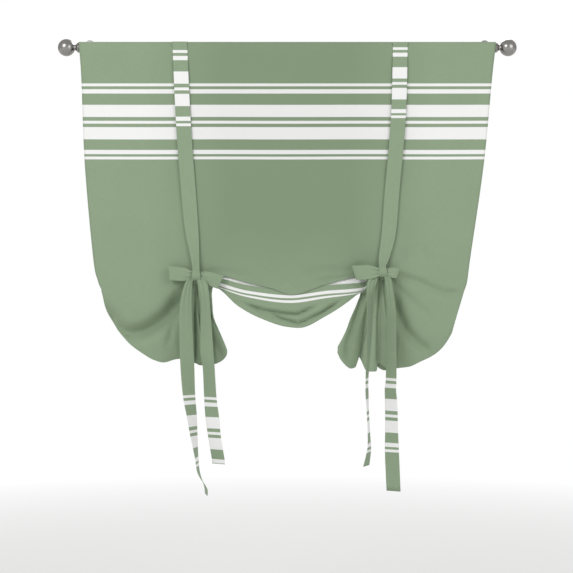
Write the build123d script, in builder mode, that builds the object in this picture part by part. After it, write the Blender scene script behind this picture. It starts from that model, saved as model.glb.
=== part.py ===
from build123d import *
import math
import os

# Tie-up curtain on a telescoping rod. Millimetres, +Z up, the room side is -Y and the wall is the plane Y = 0.
# The origin is on the wall, midway between the two wall plates, at the height of the rod's axis.

# Rod
rod_to_wall = 75.0
outer_tube_diameter = 25.4
tube_wall = 0.8
slide_gap = 0.08
outer_tube_length = 711.0
inner_tube_length = 686.0

# Finials
ball_diameter = 43.6
neck_diameter = 14.0
collar_diameter = 26.0
collar_length = 6.6
neck_length = 8.0
end_gap = 0.3

# Tube plugs and studs
plug_length = 18.0
plug_gap = 0.05
stud_diameter = 6.0
stud_length = 30.0
stud_gap = 0.05

# Brackets
bracket_inset = 16.0
arm_width = 10.0
arm_height = 9.0
cup_wall = 2.4
cup_gap = 0.3
plate_width = 22.0
plate_height = 64.0
plate_thickness = 3.0
plate_hole_spacing = 44.0
plate_hole_diameter = 4.5
plate_hole_head = 8.6
plate_edge = 0.8
arm_screw_diameter = 3.5
arm_screw_head = 7.0
arm_screw_length = 18.0
screw_gap = 0.1
lock_screw_diameter = 4.0
lock_screw_head = 11.0
lock_screw_head_height = 6.0
lock_screw_tip_gap = 0.3
flute_radius = 1.1
flute_count = 6

# Cloth
panel_width = 1067.0
rod_past_panel = 0.5
cloth_thickness = 1.2
cloth_gap = 0.3
pocket_depth = 90.0
pocket_slack = 2.8
pocket_back_inset = 31.0

# How far the cloth sags back from the rod's front, and how far behind the front fold each next layer lies
sag = 3.0
front_fold_depth = 11.0
top_fold_depth = 11.0
bulge_depth = 13.0
low_fold_depth = 15.0
inner_fold_depth = 26.0
stripe_depth = 30.0
hem_depth = 31.0
# How much nearer the room each of them is in the side lobes, where the cloth isn't folded
lobe_front = 5.0
lobe_top = 13.0
lobe_bulge = 16.0
lobe_low = 9.0
flare_depth = 5.0

# Straps
strap_width = 38.0
strap_thickness = 1.0

# Bow loops: how far each reaches from its knot, how far its end hangs down, and how far it stands open
left_front_loop = (59.0, 2.0, 5.0)
left_back_loop = (44.0, 17.0, 5.0)
right_front_loop = (66.0, -4.0, 9.0)
right_back_loop = (30.0, 2.0, 6.0)
knot_depth = 16.0
knot_width = 22.0
knot_height = 27.0
knot_wall = 3.0
knot_core_end = 5.0

# The guide lines below are drawn for a flat cloth of this width, and spread with the cloth's real width
drawn_width = 1067.0

spread = panel_width / drawn_width
rod_y = -rod_to_wall
rod_length = panel_width + 2 * rod_past_panel
outer_radius = outer_tube_diameter / 2
outer_bore_radius = outer_radius - tube_wall
inner_radius = outer_bore_radius - slide_gap
inner_bore_radius = inner_radius - tube_wall
rod_left = -rod_length / 2
rod_right = rod_length / 2
front_y = rod_y - outer_radius - cloth_gap - cup_wall - cup_gap - cloth_thickness / 2
loop_radius = outer_radius + cloth_gap + cloth_thickness / 2


def eased(points, at):
    """Height over a list of (place, value) points, on a smooth line that never overshoots them."""
    if at <= points[0][0]:
        return points[0][1]
    if at >= points[-1][0]:
        return points[-1][1]
    slopes = [(b[1] - a[1]) / (b[0] - a[0]) for a, b in zip(points, points[1:])]
    bends = [slopes[0]] + [
        0.0 if a * b <= 0 else 2 * a * b / (a + b) for a, b in zip(slopes, slopes[1:])
    ] + [slopes[-1]]
    span = next(i for i in range(len(slopes)) if at <= points[i + 1][0])
    (left, low), (right, high) = points[span], points[span + 1]
    width = right - left
    t = (at - left) / width
    rise = bends[span] * width, bends[span + 1] * width
    return (
        low * (1 + 2 * t) * (1 - t) ** 2
        + high * t * t * (3 - 2 * t)
        + rise[0] * t * (1 - t) ** 2
        - rise[1] * t * t * (1 - t)
    )


def through(points, steps):
    """Points along a smooth line through the given points, with so many steps in each span."""
    ends = [points[0] * 2 - points[1]] + points + [points[-1] * 2 - points[-2]]
    line = []
    for span, count in enumerate(steps):
        p, q, r, s = ends[span : span + 4]
        for step in range(count):
            t = step / count
            line.append(
                (q * 2 + (r - p) * t + (p * 2 - q * 5 + r * 4 - s) * t * t + (q * 3 - p - r * 3 + s) * t**3) / 2
            )
    return line + [points[-1]]


def cloth_solid(rows, thickness):
    """One solid of even thickness around a grid of points, in flat three-cornered facets."""
    skins = []
    for side in (thickness / 2, -thickness / 2):
        grid = []
        for i, row in enumerate(rows):
            line = []
            for j, point in enumerate(row):
                across = rows[min(i + 1, len(rows) - 1)][j] - rows[max(i - 1, 0)][j]
                along = row[min(j + 1, len(row) - 1)] - row[max(j - 1, 0)]
                line.append(point + across.cross(along).normalized() * side)
            grid.append(line)
        skins.append(grid)
    front, back = skins
    last_row, last_place = len(rows) - 1, len(rows[0]) - 1
    cells = []
    for i in range(last_row):
        for j in range(last_place):
            for skin in skins:
                cells.append((skin[i][j], skin[i + 1][j], skin[i + 1][j + 1], skin[i][j + 1]))
        for j in (0, last_place):
            cells.append((front[i][j], front[i + 1][j], back[i + 1][j], back[i][j]))
    for j in range(last_place):
        for i in (0, last_row):
            cells.append((front[i][j], front[i][j + 1], back[i][j + 1], back[i][j]))
    facets = []
    for a, b, c, d in cells:
        facets.append(Face(Wire.make_polygon([a, b, c])))
        facets.append(Face(Wire.make_polygon([a, c, d])))
    return Solid(Shell(facets))


def ribbon_solid(stations, steps):
    """A strap's stretch through stations of (middle, half of its width), with so many steps in each span."""
    middles = through([middle for middle, half in stations], steps)
    halves = through([half for middle, half in stations], steps)
    rows = [[middle + half * share for middle, half in zip(middles, halves)] for share in (-1, 0, 1)]
    return cloth_solid(rows, strap_thickness)


# Rod: two tubes, the thinner one sliding in the thicker one
with BuildPart() as rod_outer_tube:
    with BuildSketch(Plane.YZ.offset(rod_left)):
        with Locations((rod_y, 0)):
            Circle(outer_radius)
            Circle(outer_bore_radius, mode=Mode.SUBTRACT)
    extrude(amount=outer_tube_length)
rod_outer_tube.part.label = "rod_outer_tube"

with BuildPart() as rod_inner_tube:
    with BuildSketch(Plane.YZ.offset(rod_right - inner_tube_length)):
        with Locations((rod_y, 0)):
            Circle(inner_radius)
            Circle(inner_bore_radius, mode=Mode.SUBTRACT)
    extrude(amount=inner_tube_length)
rod_inner_tube.part.label = "rod_inner_tube"


def make_finial(side, rod_end):
    """A turned ball with its neck and flared collar, drilled for the stud."""
    start = rod_end + side * end_gap
    collar = start + side * collar_length
    neck = collar + side * neck_length / 2
    ball = neck + side * (neck_length / 2 + ball_diameter / 2 - 3.0)
    ball_radius = ball_diameter / 2
    meet = math.sqrt(ball_radius**2 - (neck_diameter / 2 + 1.0) ** 2)
    axis = Axis((0, rod_y, 0), (1, 0, 0))
    with BuildPart() as finial:
        with BuildSketch(Plane((0, rod_y, 0), x_dir=(1, 0, 0), z_dir=(0, -1, 0))):
            with BuildLine():
                Polyline(
                    (start, 0),
                    (start, collar_diameter / 2 - 1.0),
                    (start + side * 1.0, collar_diameter / 2),
                    (start + side * 2.6, collar_diameter / 2),
                )
                Spline(
                    (start + side * 2.6, collar_diameter / 2),
                    (neck, neck_diameter / 2),
                    (ball - side * meet, neck_diameter / 2 + 1.0),
                    tangents=[(side, -0.4), (side, 0.6)],
                )
                ThreePointArc(
                    (ball - side * meet, neck_diameter / 2 + 1.0), (ball, ball_radius), (ball + side * ball_radius, 0)
                )
                Line((ball + side * ball_radius, 0), (start, 0))
            make_face()
        revolve(axis=axis)
        with BuildSketch(Plane.YZ.offset(start)):
            with Locations((rod_y, 0)):
                Circle(stud_diameter / 2 + stud_gap)
        extrude(amount=side * (stud_length / 2 + 1.0), mode=Mode.SUBTRACT)
    return finial.part


def make_stud(side, rod_end):
    """The stud that joins a finial to its tube's plug."""
    with BuildPart() as stud:
        with BuildSketch(Plane.YZ.offset(rod_end + side * (end_gap - stud_length / 2))):
            with Locations((rod_y, 0)):
                Circle(stud_diameter / 2)
        extrude(amount=side * stud_length)
        chamfer(stud.edges().filter_by(GeomType.CIRCLE), 0.6)
    return stud.part


def make_plug(side, rod_end, bore_radius):
    """The plug fixed in a tube's end, drilled for the stud."""
    with BuildPart() as plug:
        with BuildSketch(Plane.YZ.offset(rod_end - side * plug_length)):
            with Locations((rod_y, 0)):
                Circle(bore_radius - plug_gap)
                Circle(stud_diameter / 2 + stud_gap, mode=Mode.SUBTRACT)
        extrude(amount=side * plug_length)
    return plug.part


def make_wall_plate(side):
    """A bracket's plate, with two countersunk holes for wall screws and one for the arm's screw."""
    middle = side * (rod_length / 2 - bracket_inset)
    wall = Plane((middle, 0, 0), x_dir=(1, 0, 0), z_dir=(0, -1, 0))
    with BuildPart() as plate:
        with BuildSketch(wall):
            RectangleRounded(plate_width, plate_height, plate_width / 2 - 1.0)
        extrude(amount=plate_thickness)
        chamfer(plate.faces().sort_by(Axis.Y)[0].edges(), plate_edge)
        with Locations(wall.offset(plate_thickness)):
            with GridLocations(0, plate_hole_spacing, 1, 2):
                CounterSinkHole(plate_hole_diameter / 2, plate_hole_head / 2)
        with Locations(Plane((middle, 0, -arm_height / 2), x_dir=(1, 0, 0), z_dir=(0, 1, 0))):
            CounterSinkHole(arm_screw_diameter / 2 + screw_gap, arm_screw_head / 2 + screw_gap)
    return plate.part


def make_bracket_arm(side, tube_radius):
    """The arm from the plate to an open cup that the tube lies in."""
    middle = side * (rod_length / 2 - bracket_inset)
    cup_inside = tube_radius + cup_gap
    cup_outside = cup_inside + cup_wall
    with BuildPart() as arm:
        with BuildSketch(Plane.YZ.offset(middle - arm_width / 2)):
            with BuildLine():
                Polyline(
                    (-plate_thickness, 0),
                    (-plate_thickness, -arm_height),
                    (rod_y + cup_outside + 6.0, -arm_height),
                )
                Spline(
                    (rod_y + cup_outside + 6.0, -arm_height),
                    (rod_y, -cup_outside),
                    (rod_y - cup_outside, 0),
                    tangents=[(-1, -0.3), (0, 1)],
                )
                Line((rod_y - cup_outside, 0), (-plate_thickness, 0))
            make_face()
            with Locations((rod_y, 0)):
                Circle(cup_inside, mode=Mode.SUBTRACT)
        extrude(amount=arm_width)
        with BuildSketch(Plane((middle, -plate_thickness, -arm_height / 2), x_dir=(1, 0, 0), z_dir=(0, -1, 0))):
            Circle(arm_screw_diameter / 2 + screw_gap)
        extrude(amount=arm_screw_length, mode=Mode.SUBTRACT)
        with BuildSketch(Plane.XY.offset(-cup_outside - 2.0)):
            with Locations((middle, rod_y)):
                Circle(lock_screw_diameter / 2 + screw_gap)
        extrude(amount=cup_wall + 4.0, mode=Mode.SUBTRACT)
    return arm.part


def make_arm_screw(side):
    """The countersunk screw from behind the plate into the arm."""
    middle = side * (rod_length / 2 - bracket_inset)
    head_depth = (arm_screw_head - arm_screw_diameter) / 2
    plane = Plane((middle, 0, -arm_height / 2), x_dir=(1, 0, 0), z_dir=(0, 0, 1))
    with BuildPart() as screw:
        with BuildSketch(plane):
            with BuildLine():
                Polyline(
                    (0, -0.2),
                    (arm_screw_head / 2 - 0.2, -0.2),
                    (arm_screw_diameter / 2, -head_depth),
                    (arm_screw_diameter / 2, -arm_screw_length),
                    (0, -arm_screw_length),
                    close=True,
                )
            make_face()
        revolve(axis=Axis((middle, 0, -arm_height / 2), (0, 1, 0)))
    return screw.part


def make_lock_screw(side, tube_radius):
    """The thumb screw under a cup, with a fluted head."""
    middle = side * (rod_length / 2 - bracket_inset)
    tip = -(tube_radius + lock_screw_tip_gap)
    head_top = -(tube_radius + cup_gap + cup_wall + 1.5)
    with BuildPart() as screw:
        with BuildSketch(Plane.XY.offset(head_top)):
            with Locations((middle, rod_y)):
                Circle(lock_screw_diameter / 2)
        extrude(amount=tip - head_top)
        with BuildSketch(Plane.XY.offset(head_top - lock_screw_head_height)):
            with Locations((middle, rod_y)):
                Circle(lock_screw_head / 2)
                with PolarLocations(lock_screw_head / 2 + flute_radius / 3, flute_count):
                    Circle(flute_radius, mode=Mode.SUBTRACT)
        extrude(amount=lock_screw_head_height)
    return screw.part


# Cloth: guide lines run across the panel, one for each fold and each tie. Each is a list of
# (place across the flat cloth, x, z), and the cloth passes through all of them from its pocket to its hem.
left_tie = (-232.0 * spread, -584.0)
right_tie = (242.0 * spread, -576.0)
fold_front = [
    (-533, -471, -640), (-490, -432, -655), (-430, -388, -665), (-370, -330, -650), (-320, -268, -612),
    (-296, -242, -590), (-276, -222, -586), (-250, -206, -575), (-210, -166, -586), (-150, -114, -602),
    (-50, -36, -620), (12, 11, -635), (98, 91, -611), (170, 150, -594), (215, 190, -580), (250, 214, -572),
    (280, 233, -572), (300, 252, -574), (330, 285, -590), (400, 345, -612), (470, 405, -620), (533, 452, -622),
]
fold_top = [
    (-370, -300, -690), (-340, -270, -640), (-318, -248, -598), (-296, -238, -584), (-276, -228, -584),
    (-250, -220, -586), (-225, -208, -588), (-200, -180, -560), (-150, -125, -480), (-60, -50, -440),
    (12, 11, -435), (100, 92, -450), (160, 150, -490), (200, 186, -560), (226, 208, -578), (256, 226, -576),
    (280, 236, -574), (300, 248, -574), (322, 262, -590), (345, 286, -640), (400, 345, -690),
]
fold_low = [
    (-533, -424, -738), (-470, -375, -780), (-420, -340, -800), (-380, -316, -807), (-345, -276, -798),
    (-322, -240, -808), (-303, -240, -800), (-295, -240, -700), (-291, -240, -604), (-281, -224, -604),
    (-277, -224, -700), (-270, -224, -808), (-256, -214, -806), (-240, -198, -815), (-224, -166, -803),
    (-211, -154, -780), (-205, -167, -748), (-199, -188, -700), (-192, -194, -640), (-183, -184, -600),
    (-170, -154, -568), (-100, -86, -580), (12, 11, -600), (100, 92, -582), (170, 154, -562), (192, 184, -596),
    (202, 190, -640), (211, 168, -700), (222, 129, -776),
    (236, 164, -822), (250, 186, -796), (264, 224, -828), (276, 230, -800), (282, 232, -700), (285, 232, -596),
    (295, 250, -596), (299, 250, -700), (306, 250, -800), (322, 254, -829), (345, 270, -820), (390, 312, -818),
    (440, 352, -802), (490, 390, -779), (533, 413, -746),
]
hem_top = [
    (-533, -440, -600), (-430, -360, -600), (-330, -262, -590), (-296, -240, -585), (-276, -224, -585),
    (-250, -215, -585), (-215, -190, -570), (-150, -130, -480), (-50, -45, -430), (50, 48, -430),
    (150, 134, -480), (210, 190, -565), (240, 215, -576), (281, 232, -576), (299, 250, -576), (340, 280, -590),
    (440, 366, -600), (533, 430, -600),
]
medium_line = [
    (-533, -439, -630), (-330, -262, -630), (-296, -240, -592), (-276, -224, -592), (-240, -204, -597),
    (-205, -174, -604), (-120, -102, -624.5), (-5, 8, -636), (98, 109, -623), (185, 193.5, -613),
    (240, 216, -600), (281, 232, -584), (299, 250, -584), (340, 280, -630), (533, 430, -630),
]
hem = [
    (-533, -438, -680), (-430, -350, -732), (-340, -280, -720), (-306, -246, -640), (-296, -240, -600),
    (-276, -224, -600), (-240, -206, -612), (-200, -178, -619), (-145, -126, -664), (-85, -69, -695),
    (-18, -2, -717), (14, 30, -720), (85, 98, -690), (172, 175, -637), (200, 192, -618), (240, 216, -608),
    (281, 232, -592), (299, 250, -592), (318, 268, -640), (370, 310, -730), (440, 366, -732), (533, 425, -680),
]
# How far the cloth stands behind (+) or before (-) its own layer at the low fold
low_depth = [
    (-400, 0), (-345, -2), (-322, -9), (-303, -6), (-286, 0), (-270, 6), (-256, 4), (-240, -3), (-224, 2),
    (-200, 4), (-100, 0), (110, 0), (210, 4), (222, 2), (236, -4), (250, 8), (264, -8), (276, -6), (290, 0),
    (306, 6), (322, 4), (345, -3), (390, 0), (420, 0),
]
# Soft valleys pressed in the cloth: depth, half width, and the line along each in x and z
creases = [
    (13, 14, [(-470, -668), (-443, -697), (-394, -713), (-345, -698), (-290, -640), (-258, -606)]),
    (12, 9, [(270, -612), (318, -700), (352, -765), (366, -800)]),
    (7, 10, [(282, -590), (330, -606), (405, -634), (430, -640)]),
    (4, 9, [(206, -556), (150, -572), (80, -574), (20, -588)]),
]
columns = [
    -533, -500, -460, -420, -390, -362, -345, -334, -322, -312, -303, -295, -289, -283, -277, -270, -262, -254,
    -246, -239, -231, -224, -217, -211, -205, -199, -192, -183, -170, -140, -95, -40, 12, 60, 100, 135, 165, 183, 193,
    203, 211, 219, 227, 235, 243, 250, 257, 264, 270, 277, 283, 287, 293, 298, 305, 313, 322, 334, 345, 365,
    395, 425, 460, 495, 533,
]
tie_places = (-286.0, 290.0)


def on_line(line, place):
    """Where a guide line is at a place across the cloth."""
    x = eased([(point[0], point[1]) for point in line], place) * spread
    z = eased([(point[0], point[2]) for point in line], place)
    return x, z


def nearness(place, reach):
    """1 at a tie and 0 far from both."""
    return max(math.exp(-(((place - tie) / reach) ** 2)) for tie in tie_places)


def pressed(point):
    """How far back the creases press the cloth at a point."""
    moved = 0.0
    for depth, width, line in creases:
        lengths = [math.dist(start, end) for start, end in zip(line, line[1:])]
        nearest, where, gone = math.inf, 0.0, 0.0
        for start, end, length in zip(line, line[1:], lengths):
            way = ((end[0] - start[0]) / length, (end[1] - start[1]) / length)
            along = (point.X / spread - start[0]) * way[0] + (point.Z - start[1]) * way[1]
            along = min(max(along, 0.0), length)
            side_x = point.X / spread - start[0] - along * way[0]
            far = math.hypot(side_x, point.Z - start[1] - along * way[1])
            if far < nearest:
                nearest, where = far, (gone + along) / sum(lengths)
            gone += length
        fade = min(max(min(where, 1 - where) * 6, 0.15), 1)
        moved += depth * fade * math.exp(-((nearest / width) ** 2))
    return moved


def panel_path(place):
    """The way the cloth runs from the pocket's seam to the hem, at one place across it."""
    share = place / (drawn_width / 2)
    top_x = share * (rod_length / 2 - rod_past_panel - end_gap)
    back_x = share * (rod_length / 2 - pocket_back_inset)
    front_x, front_z = on_line(fold_front, place)
    top_fold_x, top_fold_z = on_line(fold_top, place)
    low_x, low_z = on_line(fold_low, place)
    inner_x, inner_z = on_line(hem_top, place)
    medium_x, medium_z = on_line(medium_line, place)
    hem_x, hem_z = on_line(hem, place)
    tied = nearness(place, 22.0)
    gathered = nearness(place, 80.0)
    lobe = eased([(-350, 1.0), (-308, 0.0), (308, 0.0), (352, 1.0)], place)
    hang = front_y + sag
    seam_z = 14.0 - pocket_depth
    front_depth = hang - front_fold_depth + lobe_front * lobe
    top_depth = front_depth + top_fold_depth - lobe_top * lobe
    behind = front_depth - lobe_low * lobe
    pleat = math.sin(place / 4.6 + 0.8 * math.sin(place / 17.0))
    flare = flare_depth * pleat * gathered * (1 - tied) * (1 - lobe) + eased(low_depth, place)

    def between(a, b, part):
        return a + (b - a) * part

    def lean(z):
        power = 2.6 - 1.1 * gathered
        return between(top_x, front_x, (z / front_z) ** power)

    top_fold_x = between(top_fold_x, between(front_x, low_x, 0.36), lobe)
    top_fold_z = between(top_fold_z, between(front_z, low_z, 0.36), lobe)
    swag = (1 - gathered) * (1 - lobe)
    mid_z = front_z * 0.5
    late_z = front_z * 0.84
    return [
        Vector(back_x, hang + cloth_thickness + cloth_gap, seam_z),
        Vector(back_x, rod_y + loop_radius + pocket_slack, 0),
        Vector(top_x, rod_y, loop_radius),
        Vector(top_x, front_y, 0),
        Vector(lean(seam_z), hang, seam_z),
        Vector(lean(mid_z), hang + 2.0 * math.cos(place / 60), mid_z),
        Vector(lean(late_z), between(hang, front_depth, 0.7) + 2.0 * math.cos(place / 31), late_z),
        Vector(front_x, front_depth, front_z),
        Vector(
            between(front_x, top_fold_x, 0.4),
            between(front_depth, top_depth, 0.7),
            between(front_z, top_fold_z, 0.4),
        ),
        Vector(top_fold_x, top_depth, top_fold_z),
        Vector(
            between(top_fold_x, low_x, 0.55),
            front_depth + bulge_depth - lobe_bulge * lobe + flare * 0.7,
            between(top_fold_z, low_z, 0.55),
        ),
        Vector(low_x, behind + low_fold_depth + flare, low_z),
        Vector(
            between(low_x, inner_x, 0.35),
            behind + between(low_fold_depth, inner_fold_depth, 0.64) + flare * 0.8,
            between(low_z, inner_z, 0.45),
        ),
        Vector(inner_x, behind + inner_fold_depth + 8.0 * swag, inner_z),
        Vector(medium_x, behind + stripe_depth - 2 * tied, medium_z),
        Vector(hem_x, behind + hem_depth - 2 * tied, hem_z),
    ]


panel_steps = [2, 2, 2, 1, 2, 3, 3, 1, 2, 3, 2, 2, 3, 3, 2]
panel_rows = []
for place in columns:
    line = through(panel_path(place), panel_steps)
    panel_rows.append([point + Vector(0, pressed(point), 0) for point in line])
with BuildPart() as curtain_panel:
    add(cloth_solid(panel_rows, cloth_thickness))
curtain_panel.part.label = "curtain_panel"

# Straps: each is a flat band sewn to the panel's top edge. The front one lies on the panel, the back one hangs behind
# it and comes forward under the tied cloth. Runs and tails are lists of (x, z, width seen from the room).
tie_front_y = front_y - 13.0
tail_y = tie_front_y - 24.0
strap_back_y = rod_y + loop_radius + pocket_slack + cloth_thickness / 2 + cloth_gap + strap_thickness
left_run = [(-264, -206, 38), (-251, -391, 38), (-242, -477, 34), (-232, -571.5, 18)]
right_run = [(284, -184, 38), (268, -368, 38), (258, -477, 38), (242, -563.5, 18)]
left_front_tail = [
    (-238, -595.5, 14), (-259, -667, 31), (-256, -789, 37), (-249, -886, 29), (-242, -939, 22), (-237, -986, 16),
    (-230, -1042, 5), (-223, -1085, 1), (-206, -1122, -9), (-205, -1140, -8),
]
left_back_tail = [
    (-217.5, -589, 6), (-208, -667, 26), (-204, -776, 34), (-199, -819, 31), (-195, -892, 32), (-190, -944, 35),
    (-184, -996, 33), (-175, -1050, 33), (-174, -1063, 33),
]
right_front_tail = [
    (237, -587.5, 10), (209, -700, 15), (202, -843, 9), (202, -886, 9), (204, -932, 7), (207, -996, 8),
    (207, -1028, 12), (200, -1065, 18),
]
right_back_tail = [
    (256.5, -581, 6), (263, -700, 22), (263, -840, 24), (261, -874, 26), (263, -911, 29), (264, -972, 30),
    (265, -1035, 34), (269, -1132, 34),
]


def tail_stations(tail, turn):
    """A tail's stations, turned about its own length so that it looks as wide as each station says."""
    stations = []
    for number, (x, z, seen) in enumerate(tail):
        depth = math.sqrt(max((strap_width / 2) ** 2 - (seen / 2) ** 2, 0.0))
        if number == 0:
            depth = 0.0
        y = tail_y if number else tie_front_y - knot_depth / 2
        stations.append((Vector(x * spread, y, z), Vector(seen / 2, turn * depth, 0)))
    return stations


def loop_stations(knot, side, reach, drop, thick):
    """A bow loop: out from the knot, round its end and back behind, with its width upright."""
    root = knot_width / 2 - 1.0 if side < 0 else knot_width / 2 + knot_core_end - 1.0
    x, z = knot[0] + side * root, knot[1]
    y = tie_front_y - knot_depth / 2
    upright = Vector(side * drop / 4, 0, strap_width / 2)
    narrow = Vector(0, 0, strap_width / 5)
    return [
        (Vector(x, y - 1.0, z), narrow),
        (Vector(x + side * reach * 0.4, y - thick, z - drop * 0.4), upright),
        (Vector(x + side * reach * 0.9, y - thick * 0.8, z - drop * 0.9), upright),
        (Vector(x + side * reach, y, z - drop), upright),
        (Vector(x + side * reach * 0.9, y + thick * 0.6, z - drop * 0.9), upright),
        (Vector(x + side * reach * 0.4, y + thick * 0.6, z - drop * 0.4), upright),
        (Vector(x, y + 1.0, z), narrow),
    ]


def knot_turn(knot):
    """The knot's outer turn: the front strap wrapped round the back one, closed on its left."""
    x, z = knot
    middle = (tie_front_y - knot_depth / 2, z)
    with BuildPart() as turn:
        with BuildSketch(Plane.YZ.offset(x - knot_width / 2)):
            with Locations(middle):
                RectangleRounded(knot_depth, knot_height, knot_depth * 0.4)
        extrude(amount=knot_width)
        fillet(turn.edges().filter_by(Plane.YZ).group_by(Axis.X)[0], 2.0)
        with BuildSketch(Plane.YZ.offset(x - knot_width / 2 + knot_wall)):
            with Locations(middle):
                RectangleRounded(knot_depth - 2 * knot_wall, knot_height - 2 * knot_wall, knot_depth * 0.2)
        extrude(amount=knot_width, mode=Mode.SUBTRACT)
    return turn.part


def knot_core(knot):
    """The part of the back strap that the knot's turn holds, bunched together."""
    x, z = knot
    depth = knot_depth - 2 * (knot_wall + cloth_gap)
    height = knot_height - 2 * (knot_wall + cloth_gap)
    with BuildPart() as core:
        with BuildSketch(Plane.YZ.offset(x - knot_width / 2 + knot_wall + cloth_gap)):
            with Locations((tie_front_y - knot_depth / 2, z)):
                RectangleRounded(depth, height, depth * 0.3)
        extrude(amount=knot_width - knot_wall + knot_core_end)
    return core.part


def front_run(run, top_x):
    """A front strap from the top of the rod down to the knot."""
    flat = Vector(strap_width / 2, 0, 0)
    top = loop_radius + cloth_thickness / 2 + cloth_gap + strap_thickness / 2
    lie = front_y - cloth_thickness / 2 - cloth_gap - strap_thickness / 2
    stations = [
        (Vector(top_x, rod_y, top), flat),
        (Vector(top_x + (run[0][0] * spread - top_x) * 0.1, lie, 0), flat),
    ]
    depths = (lie - 0.2, lie - 4.0, lie - 9.5, tie_front_y - knot_depth / 2)
    for (x, z, seen), y in zip(run, depths):
        stations.append((Vector(x * spread, y, z), Vector(seen / 2, 0, 0)))
    return ribbon_solid(stations, (3, 3, 4, 3, 3))


def back_run(run, knot, top_x):
    """A back strap from the top, down behind the cloth, forward under it and up into the knot."""
    flat = Vector(strap_width / 2, 0, 0)
    slim = Vector(5.0, 0, 0)
    x, z = knot
    core_end = x + knot_width / 2 + knot_core_end / 2 + 0.5
    top = loop_radius + cloth_thickness / 2 + cloth_gap + strap_thickness / 2
    stations = [
        (Vector(top_x, rod_y + 6.0, top - 0.6), flat),
        (Vector(top_x, strap_back_y, 0), flat),
        (Vector(run[0][0] * spread, strap_back_y, run[0][1]), flat),
        (Vector(run[2][0] * spread, strap_back_y, run[2][1]), flat),
        (Vector(x, strap_back_y, z + 10), slim),
        (Vector(x, strap_back_y - 6.0, z - 27), slim),
        (Vector(x + 2, tie_front_y + 6.0, z - 27), slim),
        (Vector(core_end, tie_front_y - knot_depth / 2, z - 6), Vector(2.0, 0, 0)),
    ]
    return ribbon_solid(stations, (3, 4, 4, 4, 4, 3, 3))


left_strap_x = -275.5 * spread
right_strap_x = 288.0 * spread
with BuildPart() as left_front_strap:
    add(front_run(left_run, left_strap_x))
    add(knot_turn(left_tie))
    add(ribbon_solid(loop_stations(left_tie, -1, *left_front_loop), (2, 3, 3, 3, 3, 2)))
    add(ribbon_solid(tail_stations(left_front_tail, 1), (2,) * 9))
left_front_strap.part.label = "left_front_strap"

with BuildPart() as left_back_strap:
    add(back_run(left_run, left_tie, left_strap_x))
    add(knot_core(left_tie))
    add(ribbon_solid(loop_stations(left_tie, 1, *left_back_loop), (2, 3, 3, 3, 3, 2)))
    add(ribbon_solid(tail_stations(left_back_tail, -1), (2,) * 8))
left_back_strap.part.label = "left_back_strap"

with BuildPart() as right_front_strap:
    add(front_run(right_run, right_strap_x))
    add(knot_turn(right_tie))
    add(ribbon_solid(loop_stations(right_tie, -1, *right_front_loop), (2, 3, 3, 3, 3, 2)))
    add(ribbon_solid(tail_stations(right_front_tail, 1), (2,) * 7))
right_front_strap.part.label = "right_front_strap"

with BuildPart() as right_back_strap:
    add(back_run(right_run, right_tie, right_strap_x))
    add(knot_core(right_tie))
    add(ribbon_solid(loop_stations(right_tie, 1, *right_back_loop), (2, 3, 3, 3, 3, 2)))
    add(ribbon_solid(tail_stations(right_back_tail, -1), (2,) * 7))
right_back_strap.part.label = "right_back_strap"

os.makedirs("parts", exist_ok=True)
straps = [left_front_strap.part, left_back_strap.part, right_front_strap.part, right_back_strap.part]
pieces = [curtain_panel.part, rod_outer_tube.part, rod_inner_tube.part] + straps
for side, name in ((-1, "left"), (1, "right")):
    rod_end = side * rod_length / 2
    radius = outer_radius if side < 0 else inner_radius
    made = {
        "finial": make_finial(side, rod_end),
        "finial_stud": make_stud(side, rod_end),
        "tube_plug": make_plug(side, rod_end, radius - tube_wall),
        "wall_plate": make_wall_plate(side),
        "bracket_arm": make_bracket_arm(side, radius),
        "arm_screw": make_arm_screw(side),
        "lock_screw": make_lock_screw(side, radius),
    }
    for kind, piece in made.items():
        piece.label = f"{name}_{kind}"
        pieces.append(piece)
for piece in pieces:
    export_step(piece, f"parts/{piece.label}.step")
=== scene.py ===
import math

import bpy
import numpy as np
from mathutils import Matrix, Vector


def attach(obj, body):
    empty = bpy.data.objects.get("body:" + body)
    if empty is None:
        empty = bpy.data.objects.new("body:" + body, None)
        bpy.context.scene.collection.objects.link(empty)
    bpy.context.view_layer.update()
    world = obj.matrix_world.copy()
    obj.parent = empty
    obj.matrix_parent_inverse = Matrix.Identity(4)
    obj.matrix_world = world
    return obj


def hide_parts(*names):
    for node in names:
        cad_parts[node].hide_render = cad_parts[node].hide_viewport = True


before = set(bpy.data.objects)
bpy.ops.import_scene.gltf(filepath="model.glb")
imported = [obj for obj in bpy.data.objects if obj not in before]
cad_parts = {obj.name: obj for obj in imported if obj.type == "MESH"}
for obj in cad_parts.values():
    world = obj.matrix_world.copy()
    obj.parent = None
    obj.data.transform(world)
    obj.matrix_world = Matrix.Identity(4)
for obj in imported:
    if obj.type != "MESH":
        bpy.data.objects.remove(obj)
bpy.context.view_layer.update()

mm = 0.001
rodDepth = -75.0  # the rod's axis stands this far before the wall, in millimetres

# What the picture is taken with: the lens and its sensor in millimetres, the rest in metres
picture = {
    "lens": 85.0,
    "sensor": 36.0,
    "middle": (-0.002, -0.614),
    "viewWidth": 1.4646,
    "clothDepth": -0.095,
}

scene = bpy.context.scene
scene.view_settings.view_transform = "Standard"


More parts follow.
